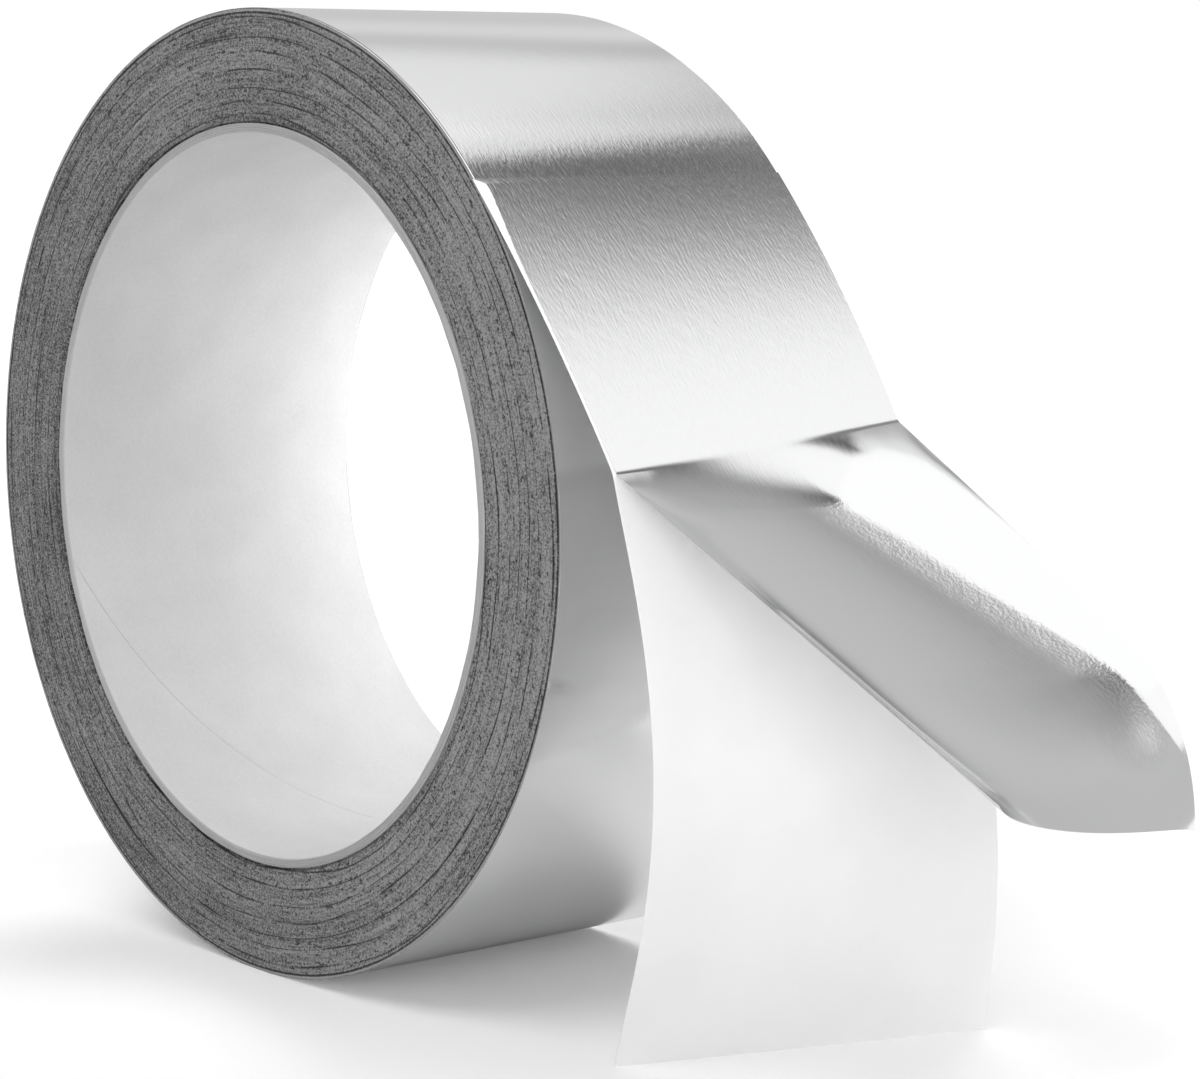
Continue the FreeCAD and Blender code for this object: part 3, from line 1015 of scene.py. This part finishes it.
def crumpled(length, across):
    """How crumpled the free foil is at a place, from 0 to 1."""
    along = (length - LEAD_FRONT_LENGTH) / (FOIL_LENGTH - LEAD_FRONT_LENGTH)
    if along <= 0:
        return 0.0
    wander = 0.012 * noise.noise(Vector((length * 0.6, 5, 0)))
    away = abs(across - valley_place(along) - CRUMPLE_CENTRE - wander) / CRUMPLE_HALF_WIDTH
    started = smooth_step((along - CRUMPLE_START[0]) / CRUMPLE_START[1])
    lasting = smooth_step((CRUMPLE_END[0] - along) / CRUMPLE_END[1])
    return (1 - smooth_step(away)) * started * lasting


def wrinkle(length, across):
    """The height of the larger wrinkles, in millimetres."""
    y = (across - 0.5) * TAPE_WIDTH
    down = length * math.cos(VALLEY_TURN) + y * math.sin(VALLEY_TURN)
    side = y * math.cos(VALLEY_TURN) - length * math.sin(VALLEY_TURN)
    grains = Vector((down * CRUMPLE_GRAINS[0], side * CRUMPLE_GRAINS[1], 3))
    return CRUMPLE_DEPTH * noise.noise(grains)


print("the fold turns by %.1f degrees from the tape's edge" % math.degrees(VALLEY_TURN))

# %% Lay the grid over the lead and the flap
sheet = bmesh.new()
foil_uv = sheet.loops.layers.uv.new("tape")
lead_rows = round(LEAD_FRONT_LENGTH / CELL)
flap_rows = round((FOIL_LENGTH - LEAD_FRONT_LENGTH) / CELL)
rows = lead_rows + flap_rows
columns = round(TAPE_WIDTH / CELL)
bmesh.ops.create_grid(sheet, x_segments=rows, y_segments=columns, size=0.5)
for face in sheet.faces:
    for loop in face.loops:
        length = (loop.vert.co.x + 0.5) * FOIL_LENGTH
        loop[foil_uv].uv = (length * MM, loop.vert.co.y * TAPE_WIDTH * MM)
crease = []
crumple_mark = sheet.verts.layers.float.new("crumple")
for vert in sheet.verts:
    row = round((vert.co.x + 0.5) * rows)
    across = vert.co.y + 0.5
    if row <= lead_rows:
        length = row / lead_rows * LEAD_FRONT_LENGTH
    else:
        length = LEAD_FRONT_LENGTH + (row - lead_rows) / flap_rows * (FOIL_LENGTH - LEAD_FRONT_LENGTH)
    vert[crumple_mark] = crumpled(length, across)
    vert.co = foil_place(length, across) + FLAP_UP * (wrinkle(length, across) * vert[crumple_mark])
    if abs(row - lead_rows) <= 1:
        crease.append(vert)
bmesh.ops.smooth_vert(sheet, verts=crease, factor=0.5, use_axis_x=True, use_axis_y=False, use_axis_z=True)
sheet.normal_update()
if sheet.faces[:][0].normal.z < 0:
    bmesh.ops.reverse_faces(sheet, faces=sheet.faces[:])
upper_faces = set(sheet.faces)
bmesh.ops.solidify(sheet, geom=sheet.faces[:], thickness=FOIL_THICKNESS)
for face in sheet.faces:
    face.material_index = 0 if face in upper_faces else 1
finish_piece(sheet, "free_foil", "foil_end", [foil, foil_back], SHEET_SHARP_ANGLE)

# %% [markdown]
# ## The hanging liner
#
# The liner is stiff glazed paper. It stays under the lead, bends down at the fold and stands on the
# table on its cut end, a little twisted.

# %% Shape of the liner
LINER_FOOT = 2.3
LINER_TWIST = 20.0
LINER_DRIFT = 4.1
LINER_BULGE = 6.1
LINER_BULGE_SHAPE = 1.2
LINER_CELL = 0.5


def liner_point(down, across):
    """A point on the outer skin of the hanging liner, from the fold (0) to the table (1)."""
    fold = fold_point(across, FOIL_THICKNESS)
    fold_middle = fold_point(0.5, FOIL_THICKNESS)
    turn = math.radians(LINER_TWIST) * down
    reach = (across - 0.5) * TAPE_WIDTH
    bow = LINER_BULGE * (4 * down * (1 - down)) ** LINER_BULGE_SHAPE
    x = fold.x * (1 - down) + (fold_middle.x + LINER_FOOT) * down + bow + reach * math.sin(turn)
    y = LINER_DRIFT * down + reach * math.cos(turn)
    z = fold.z * (1 - down) + TABLE * down
    return Vector((x, y, z))


# %% Lay the liner's grid
liner = bmesh.new()
liner_lead_rows = round(LEAD_FRONT_LENGTH / LINER_CELL)
hang_length = fold_point(0.5, 0).z - TABLE
hang_rows = round(hang_length / LINER_CELL)
rows = liner_lead_rows + hang_rows
bmesh.ops.create_grid(liner, x_segments=rows, y_segments=round(TAPE_WIDTH / LINER_CELL), size=0.5)
bend = []
for vert in liner.verts:
    row = round((vert.co.x + 0.5) * rows)
    across = vert.co.y + 0.5
    if row <= liner_lead_rows:
        vert.co = lead_point(row / liner_lead_rows, across) - fold_normal() * FOIL_THICKNESS
    else:
        vert.co = liner_point((row - liner_lead_rows) / hang_rows, across)
    if abs(row - liner_lead_rows) <= 3:
        bend.append(vert)
for _ in range(3):
    bmesh.ops.smooth_vert(liner, verts=bend, factor=0.5, use_axis_x=True, use_axis_y=False, use_axis_z=True)
liner.normal_update()
if liner.faces[:][0].normal.z < 0:
    bmesh.ops.reverse_faces(liner, faces=liner.faces[:])
bmesh.ops.solidify(liner, geom=liner.faces[:], thickness=LINER_THICKNESS)
for face in liner.faces:
    face.material_index = 1 if face.normal.x < -0.3 else 0
finish_piece(liner, "hanging_liner", "liner_end", [liner_paper, shaded_liner_back], SHEET_SHARP_ANGLE)
